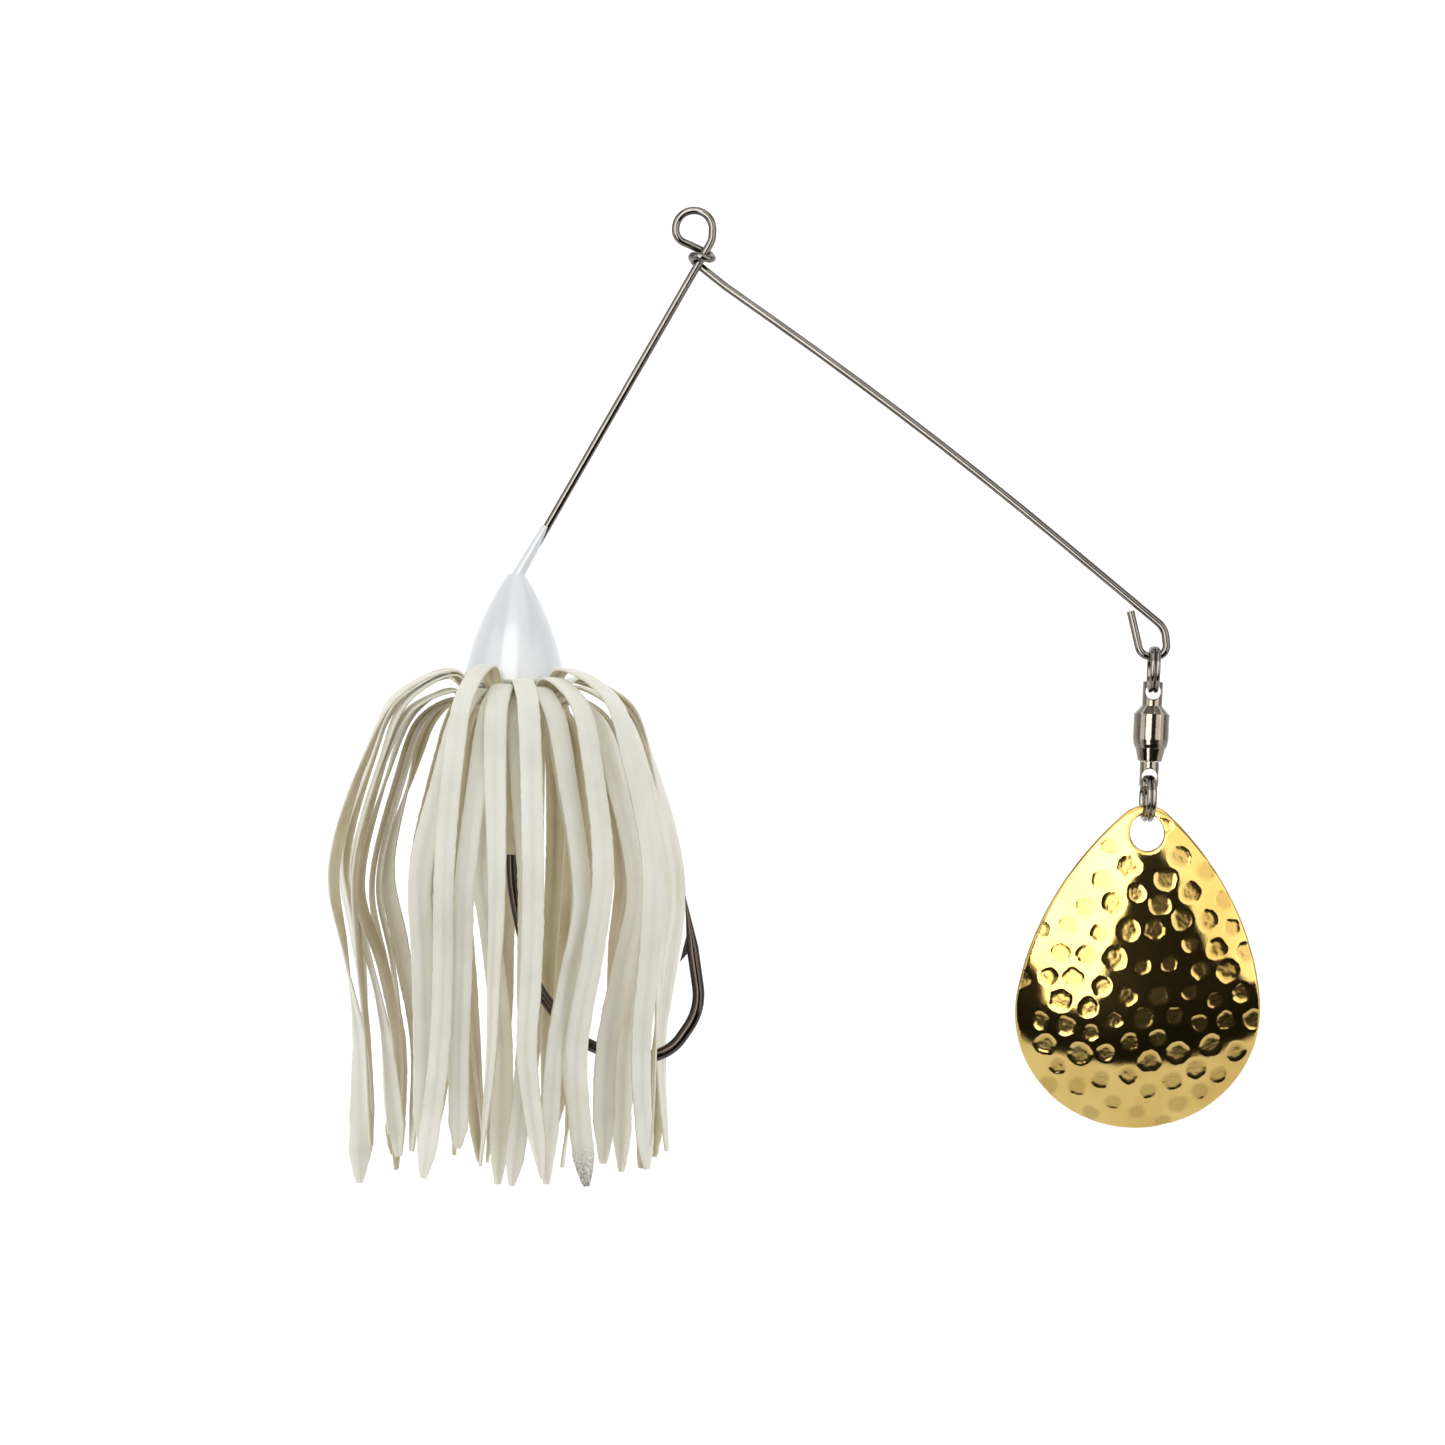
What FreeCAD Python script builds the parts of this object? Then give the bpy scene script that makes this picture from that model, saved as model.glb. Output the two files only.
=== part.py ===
"""Spinnerbait, modelled as it hangs from its line tie.

Frame: millimetres, +Z up, +X from the weighted head towards the blade, +Y away from the blade's
domed face. The origin is the centre of the line-tie loop. Every piece is written to parts/NODE.step.
"""

import FreeCAD, Part
import math
import os
from FreeCAD import Vector

# ---------------------------------------------------------------- driving dimensions, in millimetres

# Bent wire frame
wire_d = 1.25
tie_loop_r = 2.85                 # centreline radius of the line-tie loop
tie_loop_drop = 1.6               # how far below its centre the loop's sides stay upright
wrap_clearance = 0.12             # between the head wire and the turn that is wrapped round it
wrap_centre = (1.5, -4.3)         # x, z where the turn crosses the head wire
head_wire_lean = 27.6             # degrees from vertical, between the tie loop and the head
arm_start = (5.2, -8.6)           # x, z where the blade arm is straight again
arm_middle = (36.9, -29.0)
arm_end = (74.5, -57.3)
eye_shoulder = (75.95, -58.9)     # corner of the blade eye under the arm
eye_width = 4.2                   # corner to corner along the bottom of the blade eye
eye_swell = 0.65                  # the eye's far side stands out from the shoulder
eye_bottom_z = -63.4              # wire centreline at the bottom of the blade eye
eye_tail_rise = 6.9               # how far the cut end comes back up
eye_tail_lean = 1.9

# Cast head with its skirt keeper
head_tip_x = -25.3
head_tip_z = -54.6
head_lean = 1.6                   # degrees, head and skirt together
head_length = 17.4
head_r = 7.95
head_tip_r = 1.35
head_rim_r = 0.7                  # rounding of the head's lower edge
neck_length = 8.4                 # painted taper that runs up the wire
neck_top_wall = 0.06
neck_foot_wall = 0.4
keeper_r = 2.0
keeper_length = 14.0
keeper_barb = 0.55                # how far each keeper ring stands out
keeper_barb_height = 1.6
keeper_barb_drops = (6.0, 9.0)    # below the head's base

# Hook
hook_d = 1.9
hook_eye_r = 1.75                 # centreline
hook_eye_drop = 9.2               # below the head's tip
shank_bend_drop = 48.5            # below the head's tip, where the shank leans out of the sleeve
shank_bend_r = 40.0
hook_outline = (                  # x, z corners from the shank to the start of the point
    (-19.9, -118.3),
    (-12.2, -128.0),
    (1.2, -129.6),
    (6.4, -121.3),
)
hook_corner_r = (13.0, 12.0, 7.0, 9.0)
hook_point = (3.2, -103.9)
point_taper = 8.0                 # length of the ground point
barb_length = 4.3
barb_stand = 1.35
barb_thickness = 0.7

# Skirt: rubber sheet rolled into a sleeve of several wraps, each slit into strands above
sheet_t = 0.45
sheet_gap = 0.03                  # between neighbouring wraps
strand_w = 3.15
wrap_strands = (5, 6, 7, 8, 9)    # innermost wrap first
wrap_reach = (28.4, 27.0, 25.6, 24.2, 22.8)   # how far out the strands of each wrap hang
wrap_tip_drop = (77.5, 75.5, 78.0, 74.5, 76.5)    # below the head's base
wrap_pitch = 0.8                  # one wrap's arch below the next
wrap_step = 0.3                   # one wrap's lower end above the next
sleeve_length = 26.5              # below the head's base
slit_start = 2.4                  # below each wrap's arch
head_gap = 0.3                    # between the head's base and the highest strand
strand_taper = 5.0                # length of each pointed tip
strand_tip_w = 0.7
shoulder_share = 0.66             # where the arch turns down, as a share of the reach
belly_drop = 31.5
waist_drop = 53.0
waist_share = 0.82

# Split rings
ring_wire_d = 0.78
ring_od = 7.34
ring_turn_gap = 0.02
ring_step_angle = 34.0            # the part of a turn over which the wire steps across
lower_ring_yaw = 6.0

# Ball-bearing swivel
swivel_eye_stem_r = 1.58
swivel_eye_hole_r = 1.2
swivel_eye_wall = 0.4             # metal beyond the hole
swivel_eye_chamfer = 0.22
eye_hang = 0.15                   # ring wire's centre to the hole's centre
barrel_r = 2.8
barrel_shoulder = 1.3
barrel_neck = 2.2                 # stem between the eye hole and the shoulder
barrel_length = 5.3               # below the shoulder
barrel_wall = 0.55
barrel_lip_r = 2.45
barrel_lip_length = 1.35
cap_cone_top_r = 2.34
cap_cone_end_r = 1.9
cap_cone_length = 2.05
cap_plug_length = 0.9
spindle_stem_r = 1.5
spindle_neck_r = 0.72
spindle_neck_length = 1.15        # stem between the cap and the eye hole
bearing_clearance = 0.05
ball_d = 0.86
ball_count = 9
race_groove = 0.12                # how deep the balls sit in each race
spindle_collar_r = 2.05
spindle_collar_t = 0.6
rivet_r = 1.05
rivet_h = 0.35

# Blade
blade_length = 51.2
blade_round_share = 0.374         # radius of the lower end, as a share of the length
blade_side_share = 0.88
blade_side_start = 8.0            # degrees above the widest line, where the sides start
blade_t = 0.8
blade_dish_r = 52.0               # radius of the dished metal
blade_hole_r = 2.65
blade_rim = 1.3                   # between the hole and the top edge, seen from the front
blade_hole_bevel = 0.3

# Clearances
link_clearance = 0.2              # between linked pieces that swing
blade_clearance = 0.12            # between the blade's hole and the wire it hangs on
spin_clearance = 0.05             # between pieces that turn on one axis

# ---------------------------------------------------------------- worked out from the above

wire_r = wire_d / 2
wrap_r = wire_d + wrap_clearance
head_base_z = head_tip_z - head_length            # before the head leans
hook_r = hook_d / 2
sleeve_inner_r = keeper_r + keeper_barb + sheet_gap
ring_wire_r = ring_wire_d / 2
ring_r = ring_od / 2 - ring_wire_r
ring_turn_offset = (ring_wire_d + ring_turn_gap) / 2

chain_x = eye_shoulder[0] + eye_swell - eye_width / 2
upper_ring_z = eye_bottom_z + wire_r + link_clearance + ring_wire_r - ring_r
upper_hole_z = upper_ring_z - ring_r - eye_hang
shoulder_z = upper_hole_z - barrel_neck
barrel_top_z = shoulder_z - barrel_shoulder
barrel_end_z = barrel_top_z - barrel_length
cap_end_z = barrel_end_z - cap_cone_length
lower_hole_z = cap_end_z - spindle_neck_length - swivel_eye_hole_r
lower_ring_z = lower_hole_z - eye_hang - ring_r
blade_hang_z = lower_ring_z - ring_r
blade_pivot_z = blade_hang_z + ring_wire_r + blade_clearance
blade_round_r = blade_round_share * blade_length
blade_side_r = blade_side_share * blade_length

X, Y, Z = Vector(1, 0, 0), Vector(0, 1, 0), Vector(0, 0, 1)
ORIGIN = Vector(0, 0, 0)

# ---------------------------------------------------------------- helpers


def save(name, shape):
    """Write one sub-part; its solids stay separate inside the one file."""
    solids = shape.Solids
    good = bool(solids) and all(s.isValid() and s.Volume > 0 for s in solids)
    if not good:
        raise ValueError(name + " has no valid solid")
    whole = solids[0] if len(solids) == 1 else Part.makeCompound(solids)
    whole.exportStep("parts/" + name + ".step")
    print(name, len(solids), "solid(s)", round(sum(s.Volume for s in solids), 2), "mm3")


def rounded_elements(points, radii):
    """Straight runs joined by tangent arcs: ("line", a, b) and ("arc", a, middle, b) in order."""
    elements = []
    start = points[0]
    for before, corner, after, radius in zip(points, points[1:], points[2:], radii):
        inward = (corner - before).normalize()
        outward = (after - corner).normalize()
        turn = inward.getAngle(outward)
        tangent = radius * math.tan(turn / 2)
        a = corner - inward * tangent
        b = corner + outward * tangent
        bisector = (outward - inward).normalize()
        middle = corner + bisector * (radius / math.cos(turn / 2) - radius)
        if (a - start).Length > 1e-6:
            elements.append(("line", start, a))
        elements.append(("arc", a, middle, b))
        start = b
    if (points[-1] - start).Length > 1e-6:
        elements.append(("line", start, points[-1]))
    return elements


def as_edge(element):
    if element[0] == "line":
        return Part.LineSegment(element[1], element[2]).toShape()
    return Part.Arc(element[1], element[2], element[3]).toShape()


def rounded_wire(points, radii):
    return Part.Wire([as_edge(e) for e in rounded_elements(points, radii)])


def pipe(path, radius):
    """Round bar along a path."""
    first = path.OrderedEdges[0]
    at = first.valueAt(first.FirstParameter)
    along = first.tangentAt(first.FirstParameter)
    section = Part.Wire(Part.Circle(at, along, radius).toShape())
    maker = Part.BRepOffsetAPI.MakePipeShell(path)
    maker.setFrenetMode(False)
    maker.setTransitionMode(1)
    maker.add(section)
    maker.build()
    maker.makeSolid()
    return maker.shape()


def turned(outline, x=0.0):
    """Solid of revolution from (r, z) points, about the vertical through x."""
    corners = [Vector(r, 0, z) for r, z in outline]
    face = Part.Face(Part.makePolygon(corners + corners[:1]))
    solid = face.revolve(ORIGIN, Z, 360)
    return solid.translate(Vector(x, 0, 0))


def ring_of(count, first_angle):
    return [first_angle + 360.0 * k / count for k in range(count)]


def on_head_axis(shape):
    """Move a shape built about the vertical through the origin onto the leaning axis of the head."""
    shape.translate(Vector(head_tip_x, 0, 0))
    shape.rotate(Vector(head_tip_x, 0, head_tip_z), Y, -head_lean)
    return shape


def below_tip(drop):
    """Point on the head's axis."""
    lean = math.radians(head_lean)
    return Vector(head_tip_x + drop * math.sin(lean), 0, head_tip_z - drop * math.cos(lean))


# ---------------------------------------------------------------- wire frame


def frame_points():
    """Corners of the wire's centreline, from its end in the head to its cut end at the blade eye."""
    lean = math.radians(head_wire_lean)
    up = Vector(math.sin(lean), 0, math.cos(lean))
    across = Vector(math.cos(lean), 0, -math.sin(lean))
    crossing = Vector(wrap_centre[0], 0, wrap_centre[1])
    beside = Y * (hook_r + wire_r + 0.25)
    eye = below_tip(hook_eye_drop)

    points, radii = [eye + beside], []

    def corner(point, radius):
        points.append(point)
        radii.append(radius)

    corner(eye - beside, wire_d)
    corner(eye - beside + Z * 4.0, 2.5)
    tip = crossing - up * ((crossing.z - head_tip_z) / up.z)
    corner(Vector(tip.x, 0, tip.z) + Vector(-0.4, 0, -1.2), 2.5)
    corner(crossing + up * 3.05, 3.0)
    corner(Vector(tie_loop_r, 0, tie_loop_r), tie_loop_r * 0.985)
    corner(Vector(-tie_loop_r, 0, tie_loop_r), tie_loop_r * 0.985)
    corner(Vector(-tie_loop_r, 0.2, -tie_loop_drop), 2.1)
    reach = wrap_r / math.cos(math.radians(30))
    wrap_steps = ((70, 1.05), (10, 0.6), (-50, 0.1), (-110, -0.35), (-170, -0.75), (-230, -1.15))
    for angle, height in wrap_steps:
        turn = math.radians(angle)
        side = across * (reach * math.cos(turn)) + Y * (reach * math.sin(turn))
        corner(crossing + side + up * height, wrap_r * 0.9)
    corner(Vector(arm_start[0], wire_d, arm_start[1]), 12.0)
    corner(Vector(arm_middle[0], wire_d / 2, arm_middle[1]), 700.0)
    corner(Vector(eye_shoulder[0], 0, eye_shoulder[1]), 3.4)
    corner(Vector(chain_x + eye_width / 2, 0, eye_bottom_z), 1.7)
    corner(Vector(chain_x - eye_width / 2, 0, eye_bottom_z), 1.8)
    points.append(
        Vector(chain_x - eye_width / 2 - eye_tail_lean, 0, eye_bottom_z + eye_tail_rise)
    )
    return points, radii


def make_wire_frame():
    points, radii = frame_points()
    return pipe(rounded_wire(points, radii), wire_r)


# ---------------------------------------------------------------- hook


def hook_path_points():
    shank_top = below_tip(hook_eye_drop + hook_eye_r)
    shank_bend = below_tip(shank_bend_drop)
    bends = [Vector(x, 0, z) for x, z in hook_outline]
    tip = Vector(hook_point[0], 0, hook_point[1])
    leg = (tip - bends[-1]).normalize()
    return [shank_top, shank_bend] + bends + [tip - leg * point_taper], leg, tip


def make_hook():
    points, leg, tip = hook_path_points()
    bar = pipe(rounded_wire(points, (shank_bend_r,) + hook_corner_r), hook_r)
    eye = Part.makeTorus(hook_eye_r, hook_r, below_tip(hook_eye_drop), Y)
    ground = Part.makeCone(hook_r, 0.04, point_taper, points[-1], leg)
    inward = Vector(-leg.z, 0, leg.x)
    if inward.x > 0:
        inward = inward * -1
    root = points[-1] + leg * (point_taper * 0.28)
    barb_corners = [
        root,
        root + inward * (hook_r * 0.62),
        root + inward * (hook_r + barb_stand) - leg * barb_length,
        root + inward * hook_r * 0.6 - leg * (barb_length * 0.66),
        root - leg * (barb_length * 0.6),
    ]
    half = Y * (barb_thickness / 2)
    face = Part.Face(Part.makePolygon([p - half for p in barb_corners + barb_corners[:1]]))
    barb = face.extrude(Y * barb_thickness)
    return bar.fuse([eye, ground, barb]).removeSplitter()


# ---------------------------------------------------------------- cast head


def make_head(wire_frame, hook):
    """Lead head, with the taper that runs up the wire and the ringed keeper that holds the skirt."""
    base, rim = head_base_z, head_rim_r
    nose = Vector(0, 0, head_tip_z)
    widest = Vector(head_r, 0, base + rim)
    shoulder = Vector(head_r * 0.655, 0, head_tip_z - head_length * 0.42)
    side = Part.Arc(Vector(head_tip_r, 0, head_tip_z - 0.3), shoulder, widest).toShape()
    edges = [
        Part.LineSegment(nose, side.valueAt(side.FirstParameter)).toShape(),
        side,
        Part.Arc(
            widest,
            Vector(head_r - rim * 0.29, 0, base + rim * 0.29),
            Vector(head_r - rim, 0, base),
        ).toShape(),
        Part.LineSegment(Vector(head_r - rim, 0, base), Vector(0, 0, base)).toShape(),
        Part.LineSegment(Vector(0, 0, base), nose).toShape(),
    ]
    body = Part.Face(Part.Wire(edges)).revolve(ORIGIN, Z, 360)

    keeper_outline = [(0, base + 1), (keeper_r, base + 1)]
    for drop in keeper_barb_drops:
        z = base - drop
        keeper_outline += [
            (keeper_r, z),
            (keeper_r + keeper_barb, z),
            (keeper_r, z - keeper_barb_height),
        ]
    end = base - keeper_length
    keeper_outline += [(keeper_r, end + 0.5), (keeper_r - 0.5, end), (0, end)]
    casting = on_head_axis(body.fuse(turned(keeper_outline)))

    lean = math.radians(head_wire_lean)
    up = Vector(math.sin(lean), 0, math.cos(lean))
    crossing = Vector(wrap_centre[0], 0, wrap_centre[1])
    foot = crossing - up * ((crossing.z - head_tip_z + 1.2) / up.z)
    neck = Part.makeCone(
        wire_r + neck_foot_wall, wire_r + neck_top_wall, neck_length + 1.2, foot, up
    )
    return casting.fuse(neck).cut(wire_frame).cut(hook).removeSplitter()


# ---------------------------------------------------------------- skirt


def band_face(points, radii):
    """Band of the sheet's thickness along rounded corners in the (r, z) plane."""
    half = sheet_t / 2
    near, far = [], []
    for element in rounded_elements(points, radii):
        if element[0] == "line":
            along = (element[2] - element[1]).normalize()
            normals = [Vector(-along.z, 0, along.x)] * 2
        else:
            centre = as_edge(element).Curve.Center
            outward = [(p - centre).normalize() for p in element[1:]]
            clockwise = outward[0].cross(outward[2]).y > 0
            normals = outward if clockwise else [n * -1 for n in outward]
        near.append((element[0],) + tuple(p + n * half for p, n in zip(element[1:], normals)))
        far.append((element[0],) + tuple(p - n * half for p, n in zip(element[1:], normals)))
    edges = [as_edge(e) for e in near]
    edges.append(Part.LineSegment(near[-1][-1], far[-1][-1]).toShape())
    edges += [as_edge(e) for e in reversed(far)]
    edges.append(Part.LineSegment(far[0][1], near[0][1]).toShape())
    return Part.Face(Part.Wire(Part.__sortEdges__(edges)))


def make_skirt_wrap(wrap):
    """One wrap of the sheet: a plain tube below, its strands arching out under the head above."""
    inner = sleeve_inner_r + wrap * (sheet_t + sheet_gap)
    middle, outer = inner + sheet_t / 2, inner + sheet_t
    top = head_base_z - head_gap - sheet_t / 2 - wrap * wrap_pitch
    slit_z = top - slit_start
    tip_z = head_base_z - wrap_tip_drop[wrap]
    reach = wrap_reach[wrap]
    corners = [
        Vector(middle, 0, slit_z - 1.0),
        Vector(middle, 0, top),
        Vector(reach * shoulder_share, 0, top - 0.5),
        Vector(reach + 0.8, 0, top - belly_drop),
        Vector(reach * waist_share, 0, top - waist_drop),
        Vector(reach * waist_share - 0.4, 0, tip_z),
    ]
    sheet = band_face(corners, (0.8, 6.0, 12.0, 30.0)).revolve(ORIGIN, Z, 360)

    half, tip_half = strand_w / 2, strand_tip_w / 2
    shape = [
        Vector(0, -half, top + 1.0),
        Vector(0, half, top + 1.0),
        Vector(0, half, tip_z + strand_taper),
        Vector(0, tip_half, tip_z - 0.5),
        Vector(0, -tip_half, tip_z - 0.5),
        Vector(0, -half, tip_z + strand_taper),
    ]
    cutter = Part.Face(Part.makePolygon(shape + shape[:1])).extrude(X * (reach + 3.0))
    strand = sheet.common(cutter)

    count = wrap_strands[wrap]
    strands = []
    for angle in ring_of(count, 180.0 / count):
        copy = strand.copy()
        copy.rotate(ORIGIN, Z, angle)
        strands.append(copy)
    end_z = head_base_z - sleeve_length + wrap * wrap_step
    tube = turned([(inner, end_z), (outer, end_z), (outer, slit_z), (inner, slit_z)])
    return on_head_axis(tube.fuse(strands).removeSplitter())


# ---------------------------------------------------------------- split rings


def make_split_ring(z, yaw):
    """Two turns of round wire side by side, with the wire stepping across once."""
    step = math.radians(ring_step_angle)
    start = math.radians(100.0)
    samples = 48
    total = 4 * math.pi - math.radians(14.0)
    middle = total / 2
    points = []
    for k in range(samples + 1):
        angle = total * k / samples
        across = max(-1.0, min(1.0, (angle - middle) / (step / 2)))
        smooth = math.sin(across * math.pi / 2)
        points.append(
            Vector(
                ring_turn_offset * smooth,
                ring_r * math.cos(start + angle),
                ring_r * math.sin(start + angle),
            )
        )
    curve = Part.BSplineCurve()
    curve.interpolate(points)
    ring = pipe(Part.Wire(curve.toShape()), ring_wire_r)
    ring.rotate(ORIGIN, Z, yaw)
    return ring.translate(Vector(chain_x, 0, z))


# ---------------------------------------------------------------- swivel


def cross_hole(z, reach):
    """The drilled and countersunk hole through an eye stem of radius reach."""
    r, cut = swivel_eye_hole_r, swivel_eye_chamfer
    hole = Part.makeCylinder(r, 4 * reach, Vector(chain_x, -2 * reach, z), Y)
    flare = 3 * cut
    front = Part.makeCone(r + flare, r, flare, Vector(chain_x, -reach - 2 * cut, z), Y)
    back = Part.makeCone(r + flare, r, flare, Vector(chain_x, reach + 2 * cut, z), -Y)
    return hole.fuse([front, back])


def make_swivel_barrel():
    """Eye stem and barrel in one, bored from below for the bearing."""
    stem_top = upper_hole_z + swivel_eye_hole_r + swivel_eye_wall
    bore_r = barrel_r - barrel_wall
    bore_top = barrel_top_z - 0.45
    lip_z = barrel_end_z + barrel_lip_length
    outline = [
        (0, stem_top),
        (swivel_eye_stem_r - 0.15, stem_top),
        (swivel_eye_stem_r, stem_top - 0.15),
        (swivel_eye_stem_r, shoulder_z),
        (barrel_r - 0.08, barrel_top_z + 0.08),
        (barrel_r, barrel_top_z),
        (barrel_r, lip_z),
        (barrel_r - (barrel_r - barrel_lip_r) * 0.4, lip_z - barrel_lip_length * 0.6),
        (barrel_lip_r, barrel_end_z),
        (cap_plug_r, barrel_end_z),
        (cap_plug_r, barrel_end_z + cap_plug_length),
        (bore_r, barrel_end_z + cap_plug_length),
        (bore_r, bore_top),
        (0, bore_top + 0.4),
    ]
    return turned(outline, chain_x).cut(cross_hole(upper_hole_z, swivel_eye_stem_r)).removeSplitter()


def make_end_cap():
    """Cone that closes the barrel; its inner face is the lower ball race."""
    groove = bearing_groove(cap_top_z, 1)
    outline = [
        (spindle_neck_r + spin_clearance, cap_end_z),
        (cap_cone_end_r - 0.1, cap_end_z),
        (cap_cone_end_r, cap_end_z + 0.1),
        (cap_cone_top_r, barrel_end_z - 0.02),
        (cap_plug_r - 0.01, barrel_end_z - 0.02),
        (cap_plug_r - 0.01, cap_top_z),
        (spindle_neck_r + spin_clearance, cap_top_z),
    ]
    return turned(outline, chain_x).cut(groove)


def bearing_groove(face_z, side):
    """Ring of the balls' own section, sunk into a face; side is +1 above the face and -1 below it."""
    depth = ball_d / 2 - race_groove
    centre = Vector(chain_x, 0, face_z + side * depth)
    return Part.makeTorus(ball_circle_r, ball_d / 2 + bearing_clearance, centre, Z)


def make_spindle():
    """Lower eye stem with the thin neck that carries the bearing; its top end is riveted over."""
    stem_end = lower_hole_z - swivel_eye_hole_r - swivel_eye_wall
    stem_top = cap_end_z - spin_clearance
    outline = [
        (0, stem_end),
        (spindle_stem_r - 0.15, stem_end),
        (spindle_stem_r, stem_end + 0.15),
        (spindle_stem_r, stem_top),
        (spindle_neck_r, stem_top),
        (spindle_neck_r, collar_plate_z + spindle_collar_t),
        (rivet_r, collar_plate_z + spindle_collar_t),
        (rivet_r * 0.7, collar_plate_z + spindle_collar_t + rivet_h),
        (0, collar_plate_z + spindle_collar_t + rivet_h),
    ]
    return turned(outline, chain_x).cut(cross_hole(lower_hole_z, spindle_stem_r)).removeSplitter()


def make_spindle_collar():
    """Washer riveted on the neck; the balls carry it."""
    z = collar_plate_z
    outline = [
        (spindle_neck_r, z),
        (spindle_collar_r, z),
        (spindle_collar_r, z + spindle_collar_t),
        (spindle_neck_r, z + spindle_collar_t),
    ]
    return turned(outline, chain_x).cut(bearing_groove(z, -1))


def make_balls():
    balls = []
    for angle in ring_of(ball_count, 0.0):
        turn = math.radians(angle)
        side = Vector(math.cos(turn), math.sin(turn), 0) * ball_circle_r
        balls.append(Part.makeSphere(ball_d / 2, Vector(chain_x, 0, ball_z) + side))
    return Part.makeCompound(balls)


cap_plug_r = barrel_lip_r - 0.35
cap_top_z = barrel_end_z + cap_plug_length
ball_circle_r = (spindle_neck_r + barrel_r - barrel_wall) / 2 - 0.05
ball_z = cap_top_z + ball_d / 2 - race_groove
collar_plate_z = ball_z + ball_d / 2 - race_groove

# ---------------------------------------------------------------- blade


def blade_outline():
    """Closed wire in the XZ plane, top at z = 0: round lower end, long side arcs, round tip."""
    start = math.radians(blade_side_start)
    centre_z = -(blade_length - blade_round_r)
    back = blade_side_r - blade_round_r
    side_x, side_z = -back * math.cos(start), centre_z - back * math.sin(start)
    tip_r = (side_x**2 + side_z**2 - blade_side_r**2) / (2 * (-blade_side_r - side_z))
    joint = Vector(blade_round_r * math.cos(start), 0, centre_z + blade_round_r * math.sin(start))
    side_centre = Vector(side_x, 0, side_z)
    tip_centre = Vector(0, 0, -tip_r)
    tip_joint = tip_centre + (tip_centre - side_centre).normalize() * tip_r
    middle = side_centre + (joint + tip_joint - side_centre * 2).normalize() * blade_side_r

    def mirrored(p):
        return Vector(-p.x, 0, p.z)

    bottom = Vector(0, 0, -blade_length)
    return Part.Wire(
        [
            Part.Arc(joint, middle, tip_joint).toShape(),
            Part.Arc(tip_joint, ORIGIN, mirrored(tip_joint)).toShape(),
            Part.Arc(mirrored(tip_joint), mirrored(middle), mirrored(joint)).toShape(),
            Part.Arc(mirrored(joint), bottom, joint).toShape(),
        ]
    )


def make_blade():
    """Dished teardrop of sheet brass, turned on its ring until its weight hangs below the ring."""
    depth_box = 2 * blade_dish_r
    plate = Part.Face(blade_outline()).translate(-Y * blade_dish_r).extrude(Y * depth_box)
    middle_z = -blade_length * 0.54
    dish_centre = Vector(0, blade_dish_r, middle_z)
    shell = Part.makeSphere(blade_dish_r + blade_t / 2, dish_centre).cut(
        Part.makeSphere(blade_dish_r - blade_t / 2, dish_centre)
    )
    half_space = Part.makeBox(
        depth_box, blade_dish_r, depth_box, Vector(-blade_dish_r, -blade_t, middle_z - blade_dish_r)
    )
    sheet = plate.common(half_space).common(shell)
    hole_z = -(blade_rim + blade_hole_r)
    slope = math.asin((hole_z - middle_z) / blade_dish_r)
    sheet.translate(Vector(0, -blade_dish_r * (1 - math.cos(slope)), 0))
    bore = Part.makeCylinder(blade_hole_r, 12.0, Vector(0, -6.0, hole_z), Y)
    for side in (1, -1):
        mouth = Y * (side * blade_t / 2) + Z * hole_z
        outside = mouth + Y * side
        inside = mouth - Y * (side * blade_hole_bevel)
        wide = blade_hole_r + 1.0 + blade_hole_bevel
        depth = (outside - inside).Length
        bore = bore.fuse(Part.makeCone(wide, blade_hole_r, depth, outside, Y * -side))
    bore.rotate(Vector(0, 0, hole_z), X, -math.degrees(slope))
    blade = sheet.cut(bore).Solids[0]
    rim = Vector(0, math.sin(slope), math.cos(slope)) * blade_hole_r + Z * hole_z
    pivot = Vector(chain_x, 0, blade_pivot_z)
    blade.translate(pivot - rim)
    weight = blade.CenterOfMass - pivot
    blade.rotate(pivot, X, -math.degrees(math.atan2(weight.y, -weight.z)))
    return blade


# ---------------------------------------------------------------- build


def main():
    os.makedirs("parts", exist_ok=True)
    wire_frame = make_wire_frame()
    hook = make_hook()
    save("wire_frame", wire_frame)
    save("hook", hook)
    save("head_casting", make_head(wire_frame, hook))
    for wrap in range(len(wrap_strands)):
        save("skirt_wrap_" + str(wrap + 1), make_skirt_wrap(wrap))
    save("upper_split_ring", make_split_ring(upper_ring_z, 0.0))
    save("swivel_barrel", make_swivel_barrel())
    save("swivel_end_cap", make_end_cap())
    save("swivel_balls", make_balls())
    save("spindle_collar", make_spindle_collar())
    save("swivel_spindle", make_spindle())
    save("lower_split_ring", make_split_ring(lower_ring_z, lower_ring_yaw))
    blade = make_blade()
    save("blade", blade)
    print("chain x", round(chain_x, 3), "upper ring z", round(upper_ring_z, 3))
    print("upper hole z", round(upper_hole_z, 3), "lower hole z", round(lower_hole_z, 3))
    print("blade pivot z", round(blade_pivot_z, 3), "eye bottom z", eye_bottom_z)
    print("upper ring bottom z", round(upper_ring_z - ring_r, 3))
    print("lower ring top z", round(lower_ring_z + ring_r, 3))
    print("blade weight at", [round(v, 2) for v in blade.CenterOfMass])


main()
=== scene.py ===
# %% [markdown]
# # Spinnerbait
# A spinnerbait is a fishing lure bent from one spring wire. One arm carries a painted lead head
# with a hook and a rubber skirt, the other a hammered metal blade that spins on a swivel. The
# measured model comes in first and is never moved: each cell below gives its pieces a finish, or
# puts a more detailed piece in the place of a plain one. Sizes are in millimetres and are turned to
# metres once.

# %% Load the measured model
import bmesh
import bpy
import math
import random
from mathutils import Matrix, Vector
from mathutils.geometry import delaunay_2d_cdt


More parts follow.
